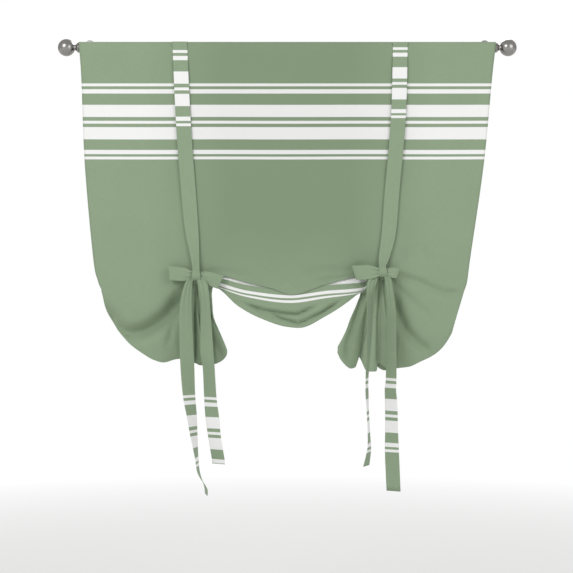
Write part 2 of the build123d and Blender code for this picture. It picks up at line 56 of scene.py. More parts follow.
def makeCamera():
    # distance = half the view's width over the tangent of half the lens angle
    half = picture["sensor"] / 2 / picture["lens"]
    data = bpy.data.cameras.new("camera")
    data.lens = picture["lens"]
    data.sensor_width = picture["sensor"]
    data.clip_end = 60
    camera = bpy.data.objects.new("camera", data)
    scene.collection.objects.link(camera)
    distance = picture["viewWidth"] / 2 / half
    camera.location = (picture["middle"][0], picture["clothDepth"] - distance, picture["middle"][1])
    camera.rotation_euler = (math.radians(90), 0, 0)
    scene.camera = camera


makeCamera()
print("camera done")


# Shader maths: a socket with operators, so that masks read as plain sums
class Wire:
    def __init__(self, tree, socket):
        self.tree = tree
        self.socket = socket

    def math(self, operation, *others):
        values = dict(enumerate((self,) + others))
        return self.tree.node("ShaderNodeMath", {"operation": operation}, values)

    def __add__(self, other):
        return self.math("ADD", other)

    def __sub__(self, other):
        return self.math("SUBTRACT", other)

    def __mul__(self, other):
        return self.math("MULTIPLY", other)

    def __truediv__(self, other):
        return self.math("DIVIDE", other)

    def most(self, other):
        return self.math("MAXIMUM", other)

    def absolute(self):
        return self.math("ABSOLUTE")

    def sine(self):
        return self.math("SINE")

    # 0 at low, 1 at high and straight between them
    def ramp(self, low, high):
        values = {"Value": self, "From Min": low, "From Max": high}
        return self.tree.node("ShaderNodeMapRange", {"clamp": True}, values)

    # another output of the same node, by its number or name
    def output(self, which):
        return Wire(self.tree, self.socket.node.outputs[which])


class Tree:
    def __init__(self, owner):
        owner.use_nodes = True
        self.nodes = owner.node_tree.nodes
        self.links = owner.node_tree.links
        self.nodes.clear()

    # one node: its type, its settings, then the values or links of its sockets
    def node(self, kind, settings=None, values=None, out=0):
        made = self.nodes.new(kind)
        for name, value in (settings or {}).items():
            setattr(made, name, value)
        for name, value in (values or {}).items():
            socket = made.inputs[name]
            if isinstance(value, Wire):
                self.links.new(value.socket, socket)
            else:
                socket.default_value = value
        return Wire(self, made.outputs[out])

    def mixColour(self, share, first, second):
        return self.node("ShaderNodeMix", {"data_type": "RGBA"}, {0: share, 6: first, 7: second}, out=2)

    # noise at a place, which stretch draws out along its axes
    def noise(self, place, scale, detail, stretch=None):
        if stretch:
            place = self.node("ShaderNodeMapping", {}, {"Vector": place, "Scale": stretch})
        return self.node("ShaderNodeTexNoise", {}, {"Vector": place, "Scale": scale, "Detail": detail})

    def bump(self, height, strength, distance):
        values = {"Height": height, "Strength": strength, "Distance": distance}
        return self.node("ShaderNodeBump", {}, values)

    # the output node, with the shader on its surface
    def end(self, shader, kind="ShaderNodeOutputMaterial"):
        self.links.new(shader.socket, self.nodes.new(kind).inputs["Surface"])

    def finish(self, **values):
        self.end(self.node("ShaderNodeBsdfPrincipled", {}, values))


def fromScreen(red, green, blue):
    # a colour given as the screen shows it, 0 to 255, made linear
    def one(value):
        value = value / 255
        return value / 12.92 if value <= 0.04045 else ((value + 0.055) / 1.055) ** 2.4
    return (one(red), one(green), one(blue), 1.0)


cloth = {
    "green": fromScreen(140, 159, 131),
    "greenDeep": fromScreen(131, 150, 122),
    # the green and the white darkened by painted shade in the middle of the cloth
    "greenPaintedShade": fromScreen(119, 138, 110),
    "white": fromScreen(234, 234, 233),
    "whitePaintedShade": fromScreen(221, 221, 220),
    # painted shade: the middle of the cloth is painted darker, as though less light falls there; from
    # and to this far from the middle of the cloth, in metres
    "paintedShadeField": (0.16, 0.38),
    # and where the painted shade ends further down, in metres along the cloth
    "paintedShadeLowerEnd": (0.5, 0.85),
    # how much of the common green is left in the middle of the painted shade
    "paintedShadeShare": 0.25,
    "threadSize": 0.0011,
    # uneven threads one way and the other, and large faint clouds: their scales, detail and share
    "threadStretch": (60, 900, 1),
    "warpStretch": (900, 60, 1),
    "detail": 3.0,
    "cloudScale": 9.0,
    "cloudShare": 0.6,
    "toneRange": (0.3, 0.7),
    # how much the weave and the uneven threads raise the cloth, and how strongly and far
    "weaveHeight": 0.3,
    "threadHeight": 0.5,
    "bump": (0.25, 0.0004),
    "bandEdge": 0.0006,
    "roughness": 0.92,
    "sheen": 0.12,
    "sheenRoughness": 0.5,
    # bands of white, in metres from the first one's upper edge
    "bands": [
        (0.0, 0.0072), (0.0148, 0.0258), (0.0547, 0.0859), (0.0956, 0.103),
        (0.1117, 0.1432), (0.1702, 0.181), (0.1874, 0.1945),
    ],
}


def bandMask(tree, place):
    # 1 inside any band, from the distance to the band's middle, with a soft edge
    mask = None
    soft = cloth["bandEdge"]
    for low, high in cloth["bands"]:
        middle = (low + high) / 2
        half = (high - low) / 2
        one = (place - middle).absolute().ramp(half + soft, half - soft)
        mask = one if mask is None else mask.most(one)
    return mask


def makeCloth(name, bandNames, paintedShadeField):
    # green with the bands in white; where there is a painted shade field, the middle is painted a little
    # darker, green and white alike
    material = bpy.data.materials.new(name)
    tree = Tree(material)
    uv = tree.node("ShaderNodeUVMap", {"uv_map": "cloth"})
    across = tree.node("ShaderNodeSeparateXYZ", {}, {"Vector": uv})
    along = across.output(1)
    mask = None
    for bandName in bandNames:
        place = tree.node("ShaderNodeAttribute", {"attribute_name": bandName}, {}, out=2)
        one = bandMask(tree, place)
        mask = one if mask is None else mask.most(one)
    # plain weave: threads across and along raise the cloth in turn, as sine * sine
    turn = 2 * math.pi / cloth["threadSize"]
    weave = (across * turn).sine() * (along * turn).sine()
    slub = tree.noise(uv, 1.0, cloth["detail"], cloth["threadStretch"])
    warp = tree.noise(uv, 1.0, cloth["detail"], cloth["warpStretch"])
    cloud = tree.noise(uv, cloth["cloudScale"], cloth["detail"])
    tone = (slub + warp + cloud * cloth["cloudShare"]) / (2 + cloth["cloudShare"])
    green = tree.mixColour(tone.ramp(*cloth["toneRange"]), cloth["greenDeep"], cloth["green"])
    white = cloth["white"]
    # painted shade: the middle of the panel is darker, while its sides and lower part keep their full
    # colour
    if paintedShadeField:
        least = cloth["paintedShadeShare"]
        aside = across.absolute().ramp(*cloth["paintedShadeField"]) * (1 - least) + least
        aside = aside.most(along.ramp(*cloth["paintedShadeLowerEnd"]))
        green = tree.mixColour(aside, cloth["greenPaintedShade"], green)
        white = tree.mixColour(aside, cloth["whitePaintedShade"], white)
    rough = cloth["threadHeight"]
    height = weave * cloth["weaveHeight"] + slub * rough + warp * rough
    tree.finish(**{
        "Base Color": tree.mixColour(mask, green, white),
        "Roughness": cloth["roughness"],
        "Normal": tree.bump(height, *cloth["bump"]),
        "Sheen Weight": cloth["sheen"],
        "Sheen Roughness": cloth["sheenRoughness"],
    })
    return material


# Of all metals: how deep the marks are in tone, how the wear and the marks change the roughness
metal = {
    "deep": 0.82,
    "markDetail": 4.0,
    "markRange": (0.3, 0.7),
    "markRough": 0.08,
    "markBump": (0.12, 0.0002),
    "wearScale": 60.0,
    "wearDetail": 3.0,
    "wearRough": 0.12,
    "leastRough": 0.1,
}
plastic = {
    "grainScale": 700.0,
    "grainDetail": 2.0,
    "grainBump": (0.15, 0.0003),
    "pale": 1.3,
    "roughness": 0.55,
}


def makeMetal(name, colour, rough, brush):
    # brushed metal, its fine marks drawn out by brush: rings round X, or lines along it on the tubes
    material = bpy.data.materials.new(name)
    tree = Tree(material)
    place = tree.node("ShaderNodeTexCoord", {}, {}, out=3)
    marks = tree.noise(place, 1.0, metal["markDetail"], brush)
    worn = tree.noise(place, metal["wearScale"], metal["wearDetail"])
    deep = tuple(c * metal["deep"] for c in colour[:3]) + (1,)
    uneven = worn * metal["wearRough"] + marks * metal["markRough"]
    tree.finish(**{
        "Base Color": tree.mixColour(marks.ramp(*metal["markRange"]), deep, colour),
        "Metallic": 1.0,
        "Roughness": uneven + (rough - metal["leastRough"]),
        "Normal": tree.bump(marks, *metal["markBump"]),
    })
    return material


def makePlastic(name, colour):
    # moulded plastic with a fine grain
    material = bpy.data.materials.new(name)
    tree = Tree(material)
    place = tree.node("ShaderNodeTexCoord", {}, {}, out=3)
    grain = tree.noise(place, plastic["grainScale"], plastic["grainDetail"])
    pale = tuple(c * plastic["pale"] for c in colour[:3]) + (1,)
    tree.finish(**{
        "Base Color": tree.mixColour(grain, colour, pale),
        "Roughness": plastic["roughness"],
        "Normal": tree.bump(grain, *plastic["grainBump"]),
    })
    return material


# the panel's cloth carries the painted shade in its middle; the straps' cloth has none
panelMaterial = makeCloth("panelCloth", ["topBand", "hemBand"], True)
strapMaterial = makeCloth("strapCloth", ["topBand", "hemBand"], False)
nickel = makeMetal("brushedNickel", fromScreen(158, 156, 153), 0.28, (2600, 40, 40))
tubeMetal = makeMetal("tubeMetal", fromScreen(158, 156, 152), 0.34, (60, 1800, 1800))
bracketMetal = makeMetal("bracketMetal", fromScreen(150, 148, 144), 0.38, (900, 90, 90))
screwMetal = makeMetal("screwMetal", fromScreen(170, 170, 168), 0.3, (900, 900, 900))
plugPlastic = makePlastic("plugPlastic", (0.03, 0.03, 0.03, 1))
print("materials done")


# which material a CAD node gets, by a word in its name; the first that fits holds
finishes = [
    ("stud", screwMetal), ("screw", screwMetal), ("finial", nickel), ("plug", plugPlastic),
    ("rod", tubeMetal), ("plate", bracketMetal), ("arm", bracketMetal),
]


def dress():
    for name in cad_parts:
        node = bpy.data.objects.get(name)
        fitting = [material for word, material in finishes if word in name]
        if node is None or not fitting:
            continue
        node.data.materials.clear()
        node.data.materials.append(fitting[0])


dress()
print("metal done")


def eased(points, at):
    # smooth line through (place, value) points that never overshoots them, for an array of places.
    # The slope at a point is the harmonic mean of the slopes beside it, or 0 where they turn
    x = np.array([p[0] for p in points], float)
    y = np.array([p[1] for p in points], float)
    slope = np.diff(y) / np.diff(x)
    product = slope[:-1] * slope[1:]
    total = slope[:-1] + slope[1:]
    inner = np.where(product > 0, 2 * product / np.where(total == 0, 1, total), 0.0)
    bend = np.concatenate([slope[:1], inner, slope[-1:]])
    at = np.clip(np.asarray(at, float), x[0], x[-1])
    i = np.clip(np.searchsorted(x, at, side="right") - 1, 0, len(slope) - 1)
    width = x[i + 1] - x[i]
    t = (at - x[i]) / width
    return (
        y[i] * (1 + 2 * t) * (1 - t) ** 2 + y[i + 1] * t * t * (3 - 2 * t)
        + bend[i] * width * t * (1 - t) ** 2 - bend[i + 1] * width * t * t * (1 - t)
    )


def through(guides, steps):
    # smooth surface through guide lines, one cubic between each two, with so many rows in each span.
    # Its slope at a line is half of the way from the line before to the line after
    guides = np.asarray(guides, float)
    ends = np.concatenate([guides[:1] * 2 - guides[1:2], guides, guides[-1:] * 2 - guides[-2:-1]])
    rows = []
    for span, count in enumerate(steps):
        p, q, r, s = ends[span:span + 4]
        t = (np.arange(count) / count).reshape(-1, *([1] * p.ndim))
        rows.append((
            2 * q + (r - p) * t + (2 * p - 5 * q + 4 * r - s) * t**2 + (3 * q - p - 3 * r + s) * t**3
        ) / 2)
    rows.append(guides[-1:])
    return np.concatenate(rows)


def sheetMesh(name, grids, material, thickness):
    # each grid is (points in metres, uv, values of the bands), rows by columns; faces join neighbours
    points, uvs, corners, bands, first = [], [], [], {}, 0
    for place, uv, values in grids:
        rows, columns = place.shape[:2]
        number = np.arange(rows * columns).reshape(rows, columns) + first
        cells = np.stack([number[:-1, :-1], number[:-1, 1:], number[1:, 1:], number[1:, :-1]], axis=-1)
        points.append(place.reshape(-1, 3))
        uvs.append(uv.reshape(-1, 2))
        corners.append(cells.reshape(-1, 4))
        for bandName, value in values.items():
            bands.setdefault(bandName, []).append(value.reshape(-1))
        first += rows * columns
    points, uvs, corners = np.concatenate(points), np.concatenate(uvs), np.concatenate(corners)
    mesh = bpy.data.meshes.new(name)
    mesh.vertices.add(len(points))
    mesh.vertices.foreach_set("co", points.reshape(-1).astype(np.float32))
    mesh.loops.add(corners.size)
    mesh.loops.foreach_set("vertex_index", corners.reshape(-1).astype(np.int32))
    mesh.polygons.add(len(corners))
    mesh.polygons.foreach_set("loop_start", (np.arange(len(corners)) * 4).astype(np.int32))
    mesh.update(calc_edges=True)
    layer = mesh.uv_layers.new(name="cloth")
    layer.data.foreach_set("uv", uvs[corners.reshape(-1)].reshape(-1).astype(np.float32))
    for bandName, values in bands.items():
        mesh.attributes.new(bandName, "FLOAT", "POINT")
        mesh.attributes[bandName].data.foreach_set("value", np.concatenate(values).astype(np.float32))
    mesh.shade_smooth()
    mesh.validate()
    mesh.materials.append(material)
    made = bpy.data.objects.new(name, mesh)
    scene.collection.objects.link(made)
    solid = made.modifiers.new("thickness", "SOLIDIFY")
    solid.thickness = thickness
    solid.offset = 0
    return made


# The panel. Places are in millimetres, as in all the lists below; flat sizes and thicknesses in metres
panel = {
    "width": 1067.0,
    "flat": (1.067, 1.69),
    "thickness": 0.0009,
    # half widths of the cloth on the front of the rod and behind it, where the pocket is sewn
    "topHalf": 533.0,
    "backHalf": 503.0,
    # y of the cloth before the rod, where it hangs, and at the pocket's seam
    "frontDepth": -91.3,
    "hangDepth": -88.3,
    "seamDepth": -86.8,
    "seamHeight": -76.0,
    "pocketBack": 16.4,
    "pocketTop": 13.6,
    "ties": (-286.0, 290.0),
    # columns crowd together near the ties: how much more, and how far from each
    "crowding": (5.5, 75.0),
    # how far from a tie the cloth is bound fast, and how far it is gathered
    "tiedReach": 22.0,
    "gatheredReach": 80.0,
    "columns": 300,
    # the front comes in with this power of the way down, and where it is gathered with so much less
    "inwardPower": (2.6, 1.1),
    # the front face sways to and fro: how far, and the millimetres to a radian half and most way down
    "sway": (2.0, 60.0, 31.0),
    # pleats of the flares: their depth, the millimetres to a radian, and the same of their wander
    "pleats": (5.0, 4.6, 0.8, 17.0),
    # rows in each span from one guide line to the next, from the pocket's back seam to the hem
    "steps": [6, 5, 5, 5, 8, 9, 12, 9, 8, 14, 16, 9, 10, 12, 6, 6, 6, 14],
    # guide lines that bound the front face, and the flares and lobes
    "frontFace": (3, 7),
    "gatheredSpans": (8, 13),
    # how far each fold stands behind (+) or before (-) the front one: (between the lobes, in them).
    # The front fold's own two places count from the hanging cloth
    "frontFold": (-11.0, -6.0),
    "topFold": (11.0, -2.0),
    "bulge": (13.0, -3.0),
    "lowFold": (15.0, 6.0),
    "midFold": 7.0,
    # and behind the low fold: (at the ties and in the lobes, in the middle swag)
    "innerFold": (11.0, 17.0),
    "overStripes": (12.0, -8.0),
    "wideStripe": (14.0, -12.0),
    "stripes": (15.0, -12.0),
    "hem": (16.0, -11.0),
    # in the swag the two lines before the medium line lie so far above it, the second also elsewhere
    "overRise": 30.0,
    "wideRise": (11.0, 4.0),
    "topHeight": 14.0,
    # the first stripe starts this far below the top, and this far above the hem
    "bandStart": 108.0,
    "bandFromHem": 258.5,
    # how far above the hem, along the cloth, the last six guide lines lie. The first of them, the
    # inner fold, adds its height over the medium line
    "hemDistances": (136.0, 136.0, 116.0, 88.5, 64.0, 0.0),
    "noBand": -900.0,
    # how the side edges come in: (share of the way down to the front fold, share of the way in)
    "leftEdge": [
        (0, 0), (0.155, 0.13), (0.25, 0.2), (0.39, 0.26), (0.48, 0.29), (0.61, 0.34), (0.8, 0.48),
        (0.92, 0.8), (1, 1),
    ],
    "rightEdge": [
        (0, 0), (0.155, 0.13), (0.3, 0.2), (0.39, 0.32), (0.48, 0.39), (0.65, 0.58), (0.78, 0.7),
        (0.87, 0.85), (1, 1),
    ],
    # by place across the flat cloth: 1 in the side lobes, where the front runs on with no fold,
    # 1 at the side edges, and 1 in the flares, which hang straight down and then spread
    "lobes": [(-350, 1.0), (-308, 0.0), (308, 0.0), (352, 1.0)],
    "edges": [(-533, 1), (-330, 0), (330, 0), (533, 1)],
    "flares": [(-262, 0), (-236, 1), (-196, 1), (-176, 0), (176, 0), (194, 0.8), (230, 0.8), (262, 0)],
}
# Guide lines run across the panel, one for each fold: (place on the flat cloth, x, z)
foldFront = [
    (-533, -484, -600), (-490, -446, -608), (-430, -392, -612), (-370, -328, -610), (-320, -268, -602),
    (-296, -242, -588), (-276, -222, -586), (-250, -206, -575), (-210, -166, -583), (-150, -114, -601),
    (-50, -36, -620), (12, 11, -635), (98, 91, -611), (170, 150, -594), (215, 190, -580),
    (250, 214, -572), (280, 233, -572), (300, 252, -574), (330, 282, -586), (400, 345, -594),
    (470, 408, -598), (533, 460, -600),
]
foldTop = [
    (-370, -300, -690), (-340, -270, -640), (-318, -248, -598), (-296, -238, -584), (-276, -228, -584),
    (-250, -222, -586), (-225, -212, -588), (-206, -204, -580), (-190, -172, -548), (-150, -125, -480),
    (-60, -50, -440), (12, 11, -435), (100, 92, -450), (160, 150, -490), (200, 186, -560),
    (226, 208, -578), (256, 226, -576), (280, 236, -574), (300, 248, -574), (322, 262, -590),
    (345, 286, -640), (400, 345, -690),
]
foldLow = [
    (-533, -431, -727), (-518, -420, -742), (-500, -405, -758), (-470, -376, -780), (-425, -340, -801),
    (-390, -316, -807), (-345, -276, -798), (-322, -240, -804), (-300, -214, -812), (-292, -226, -700),
    (-288, -232, -592), (-283, -232, -592), (-279, -238, -700), (-272, -244, -806), (-262, -233, -812),
    (-250, -222, -816), (-238, -198, -815), (-224, -166, -803), (-211, -154, -780), (-205, -167, -748),
    (-199, -189, -700), (-192, -196, -640), (-184, -190, -600), (-172, -158, -548), (-100, -86, -525),
    (12, 11, -530), (100, 92, -525), (172, 158, -540), (190, 186, -590), (200, 193, -640),
    (208, 174, -700), (217, 128, -776), (229, 162, -824), (238, 174, -821), (244, 184, -794),
    (251, 205, -832), (260, 228, -831), (266, 233, -810), (275, 262, -830), (282, 254, -700),
    (287, 240, -584), (292, 240, -584), (297, 232, -700), (303, 222, -800), (322, 250, -829),
    (345, 272, -823), (390, 312, -818), (425, 341, -805), (465, 372, -790), (495, 394, -772),
    (515, 408, -754), (533, 419, -735),
]
hemTop = [
    (-533, -440, -600), (-430, -360, -600), (-330, -262, -590), (-296, -238, -585), (-276, -228, -585),
    (-250, -215, -585), (-212, -200, -575), (-190, -172, -545), (-150, -130, -465), (-50, -45, -400),
    (50, 48, -400), (150, 134, -465), (210, 190, -565), (240, 215, -576), (281, 236, -576),
    (299, 250, -576), (340, 280, -590), (440, 366, -600), (533, 430, -600),
]
mediumLine = [
    (-533, -439, -630), (-330, -262, -630), (-296, -239, -592), (-276, -228, -592), (-240, -204, -597),
    (-196, -173, -604.5), (-120, -102, -624.5), (-5, 8, -636), (98, 109, -624), (140, 148, -621.5),
    (185, 193.5, -616), (240, 216, -600), (281, 236, -584), (299, 249, -584), (340, 280, -630),
    (533, 430, -630),
]
thinLine = [
    (-533, -439, -650), (-330, -262, -660), (-296, -239, -596), (-276, -228, -596), (-240, -206, -606),
    (-205, -176, -617), (-120, -102, -641), (-5, 8, -656), (85, 96, -644), (185, 190, -629),
    (240, 214, -606), (281, 236, -588), (299, 249, -588), (340, 280, -660), (533, 430, -650),
]
hem = [
    (-533, -438, -680), (-430, -350, -732), (-340, -280, -720), (-306, -246, -640), (-296, -240, -600),
    (-276, -228, -600), (-240, -206, -612), (-200, -178, -619), (-145, -126, -664), (-85, -69, -695),
    (-18, -2, -717), (14, 30, -720), (85, 98, -690), (172, 175, -637), (200, 192, -618),
    (240, 216, -608), (281, 236, -592), (299, 249, -592), (318, 268, -640), (370, 310, -730),
    (440, 366, -732), (533, 425, -680),
]
# how far the cloth stands behind (+) or before (-) its own layer at the low fold
lowDepth = [
    (-400, 0), (-345, -2), (-322, -10), (-300, -12), (-286, 0), (-272, 10), (-256, 4), (-240, -3),
    (-224, 2), (-200, 4), (-100, 0), (110, 0), (210, 4), (222, 2), (236, -4), (250, 8), (264, -8),
    (276, -10), (290, 0), (303, 10), (322, 4), (345, -3), (390, 0), (420, 0),
]
# soft valleys pressed in the cloth: depth, half width, and the line along each in x and z
creases = [
    (31, 18, [
        (-484, -652), (-455, -692), (-437, -716), (-405, -735), (-370, -729), (-338, -711), (-307, -686),
        (-280, -652), (-262, -620),
    ]),
    (14, 13, [(266, -630), (281, -680), (303, -725), (333, -758), (372, -790)]),
    (5, 9, [(272, -606), (325, -656), (366, -694)]),
    (8, 10, [(282, -584), (330, -600), (400, -632), (450, -630)]),
    (5, 12, [(292, -545), (330, -530), (380, -540)]),
    (6, 7, [(206, -556), (150, -572), (80, -574), (20, -588)]),
    (5, 6, [(200, -580), (140, -590), (60, -602)]),
    (3, 8, [(-212, -570), (-150, -578), (-80, -590)]),
    (14, 3.6, [(-116, -656), (-60, -674), (-3, -683), (28, -685), (80, -660)]),
    (14, 3.6, [(-58, -676), (-20, -694), (30, -709), (90, -680), (142, -646)]),
    (6, 4, [(-90, -668), (-60, -684), (-30, -700)]),
    (6, 9, [(-250, -606), (-288, -690), (-310, -780)]),
    (10, 4, [(-234, -596), (-236, -700), (-237, -830)]),
    (10, 4.5, [(-214, -604), (-197, -700), (-188, -830)]),
    (12, 4.5, [(226, -590), (200, -690), (184, -830)]),
    (6, 3.5, [(230, -600), (214, -700), (203, -800)]),
    (12, 4.5, [(238, -590), (232, -700), (231, -840)]),
    (12, 7, [(214, -596), (178, -690), (154, -765), (152, -815)]),
]
# small moves of the flares and the left lobe's edge: x, z, how far in x, and the reach
nudges = [
    (-182, -625, -12, 30), (-184, -690, -7, 35), (-448, -682, -12, 45), (172, -692, -6, 38),
    (185, -628, 6, 16),
]


def onLine(line, place):
    # x and z of a guide line at each place
    return eased([(p, x) for p, x, z in line], place), eased([(p, z) for p, x, z in line], place)


def between(first, second, share):
    return first + (second - first) * share


def pressed(points):
    # each crease moves y by depth * e^-(distance / width)^2, and fades over its first and last sixth
    moved = np.zeros(points.shape[:-1])
    for depth, width, line in creases:
        corners = np.array(line, float)
        lengths = np.linalg.norm(np.diff(corners, axis=0), axis=-1)
        gone = 0.0
        nearest = np.full(moved.shape, 1e9)
        where = np.zeros(moved.shape)
        for start, end, length in zip(corners[:-1], corners[1:], lengths):
            x, z = points[..., 0] - start[0], points[..., 2] - start[1]
            way = (end - start) / length
            t = np.clip(x * way[0] + z * way[1], 0, length)
            far = np.hypot(x - t * way[0], z - t * way[1])
            where = np.where(far < nearest, (gone + t) / lengths.sum(), where)
            nearest = np.minimum(far, nearest)
            gone += length
        fade = np.clip(np.minimum(where, 1 - where) * 6, 0.15, 1)
        moved += depth * fade * np.exp(-((nearest / width) ** 2))
    return moved


def makePanel():
    # places across the cloth, by the density 1 + a bump at each tie
    fine = np.linspace(-panel["width"] / 2, panel["width"] / 2, 4001)
    more, reach = panel["crowding"]
    density = 1 + sum(more * np.exp(-((fine - tie) / reach) ** 2) for tie in panel["ties"])
    count = np.concatenate([[0], np.cumsum((density[1:] + density[:-1]) / 2)])
    place = np.interp(np.linspace(0, count[-1], panel["columns"]), count, fine)
    flat = np.zeros_like(place)

    def near(reach):
        return np.maximum(*[np.exp(-((place - tie) / reach) ** 2) for tie in panel["ties"]])

    share = place / (panel["width"] / 2)
    topX = share * panel["topHalf"]
    backX = share * panel["backHalf"]
    tied = near(panel["tiedReach"])
    gathered = near(panel["gatheredReach"])
    lobe = eased(panel["lobes"], place)
    atEdge = eased(panel["edges"], place)
    spread = eased(panel["flares"], place)
    swag = (1 - gathered) * (1 - lobe)

    def inLobe(name):
        return panel[name][0] * (1 - lobe) + panel[name][1] * lobe

    def inSwag(name):
        return between(*panel[name], swag)

    frontX, frontZ = onLine(foldFront, place)
    topFoldX, topFoldZ = onLine(foldTop, place)
    lowX, lowZ = onLine(foldLow, place)
    innerX, innerZ = onLine(hemTop, place)
    mediumX, mediumZ = onLine(mediumLine, place)
    thinX, thinZ = onLine(thinLine, place)
    hemX, hemZ = onLine(hem, place)
    # in the lobes the top fold lies half way from the front fold to the low one
    topFoldX = between(topFoldX, between(frontX, lowX, 0.5), lobe)
    topFoldZ = between(topFoldZ, between(frontZ, lowZ, 0.5), lobe)

    hang = panel["hangDepth"]
    frontDepth = hang + inLobe("frontFold")
    topDepth = frontDepth + inLobe("topFold")
    bulgeDepth = frontDepth + inLobe("bulge")
    lowDepths = frontDepth + inLobe("lowFold")
    # pleats: the sine of the place, its own step wandering a little
    deep, step, wander, slow = panel["pleats"]
    pleat = np.sin(place / step + wander * np.sin(place / slow))
    flare = deep * pleat * gathered * (1 - tied) * (1 - lobe) + eased(lowDepth, place)

    def lean(z):
        # x on the front face: it comes in with a power of the way down, and by its own list at the edges
        down = z / frontZ
        power, less = panel["inwardPower"]
        inward = down ** (power - less * gathered)
        side = np.where(place < 0, eased(panel["leftEdge"], down), eased(panel["rightEdge"], down))
        return between(topX, frontX, between(inward, side, atEdge))

    # each guide is x, y and z; one between two folds lies at a share of the way from one to the other
    seam = panel["seamHeight"]
    middle, late = frontZ * 0.5, frontZ * 0.9
    sway, slowTurn, fastTurn = panel["sway"]
    rise, rest = panel["wideRise"]
    guides = np.stack([np.stack(guide, axis=-1) for guide in [
        (backX, panel["seamDepth"] + flat, seam + flat),
        (backX, rodDepth + panel["pocketBack"] + flat, flat),
        (topX, rodDepth + flat, panel["pocketTop"] + flat),
        (topX, panel["frontDepth"] + flat, flat),
        (lean(seam + flat), hang + flat, seam + flat),
        (lean(middle), hang + sway * np.cos(place / slowTurn), middle),
        (lean(late), between(hang, frontDepth, 0.7) + sway * np.cos(place / fastTurn), late),
        (frontX, frontDepth, frontZ),
        (
            between(frontX, topFoldX, 0.4), between(frontDepth, topDepth, 0.7),
            between(frontZ, topFoldZ, 0.4),
        ),
        (topFoldX, topDepth, topFoldZ),
        (
            between(topFoldX, lowX, 0.55 - 0.45 * spread), bulgeDepth + flare * 0.7,
            between(topFoldZ, lowZ, 0.55),
        ),
        (lowX, lowDepths + flare, lowZ),
        (
            between(lowX, innerX, 0.35 + 0.5 * spread), lowDepths + panel["midFold"] + flare * 0.8,
            between(lowZ, innerZ, 0.45),
        ),
        (innerX, lowDepths + inSwag("innerFold"), innerZ),
        (
            between(innerX, mediumX, 0.8), lowDepths + inSwag("overStripes"),
            mediumZ + panel["overRise"] * swag,
        ),
        (mediumX, lowDepths + inSwag("wideStripe"), mediumZ + rise * swag + rest),
        (mediumX, lowDepths + inSwag("stripes"), mediumZ),
        (thinX, lowDepths + inSwag("stripes"), thinZ),
        (hemX, lowDepths + inSwag("hem"), hemZ),
    ]])
    steps = panel["steps"]
    points = through(guides, steps)
    start, end = (sum(steps[:span]) for span in panel["gatheredSpans"])
    free = points[start:end]
    for x, z, move, reach in nudges:
        # each moves x by its length * e^-(distance / reach)^2
        free[..., 0] += move * np.exp(-((free[..., 0] - x) ** 2 + (free[..., 2] - z) ** 2) / reach**2)
    points[..., 1] += pressed(points)
    # the top's bands lie level on the front face, from the pocket down to the front fold
    first, last = (sum(steps[:span]) for span in panel["frontFace"])
    fromTop = np.full(points.shape[:2], panel["noBand"])
    fromTop[first:last] = panel["topHeight"] - points[first:last, :, 2]
    fromTop[last:] = -panel["noBand"]
    # the hem's bands are counted up from the hem, on the last guide lines only
    inner, *others = panel["hemDistances"]
    hemGuide = np.stack(
        [flat + panel["noBand"]] * panel["gatheredSpans"][1] + [flat - inner - np.abs(innerZ - mediumZ)]
        + [flat - distance for distance in others]
    )
    topBand = (fromTop - panel["bandStart"]) * mm
    hemBand = (through(hemGuide, steps) + panel["bandFromHem"]) * mm
    # distance along each column, for the weave
    lengths = np.linalg.norm(np.diff(points, axis=0), axis=-1)
    lengths = np.concatenate([np.zeros((1, len(place))), np.cumsum(lengths, axis=0)])
    uv = np.stack([np.broadcast_to(place, lengths.shape), lengths], axis=-1) * mm
    grid = (points * mm, uv, {"topBand": topBand, "hemBand": hemBand})
    return sheetMesh("panel", [grid], panelMaterial, panel["thickness"])


panelPiece = makePanel()
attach(panelPiece, "carrier")
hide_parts("curtain_panel")
print("panel done")


# The straps, in the same units
strap = {
    "width": 38.0,
    "thickness": 0.0009,
    "across": 21,
    "step": 6,
    "folds": 2.5,
    "foldShift": 0.13,
    # the knot's size in y, and y of its middle, of the tails, of the strap behind the panel, and of
    # the run at the top edge
    "knotDepth": 14.0,
    "knotPlace": -112.3,
    "tailPlace": -128.3,
    "backPlace": -56.7,
    "lie": -93.2,
    # a start and a scale of the pattern that show no stripe
    "noBand": (-9000.0, 1.0),
    # the run comes forward from the panel to the knot: (y, depth of its pleats) at each of its places
    "runDepths": [(-93.5, 0), (-96.5, 0), (-101.5, 0.3), (-108.5, 0.9)],
    # a loop: (share of the way out, share of the full width, rise from its middle, depth of its pleats)
    "loop": [
        (0.0, 0.56, -1.0, 1.6), (0.12, 0.68, -0.9, 1.4), (0.3, 0.92, -1.05, 0.6), (0.6, 1.02, -1.1, 0.1),
        (0.95, 1.0, -0.6, 0), (1.0, 1.0, 0.0, 0), (0.95, 1.0, 0.6, 0), (0.6, 1.0, 0.8, 0.1),
        (0.3, 0.85, 0.6, 0.5), (0.0, 0.5, 0.8, 1.4),
    ],
    # a tail below its knot: (depth of its pleats, how far it has opened out) at its first places
    "tailOpens": [(1.2, 0.25), (0.3, 0.7), (0, 1)],
}
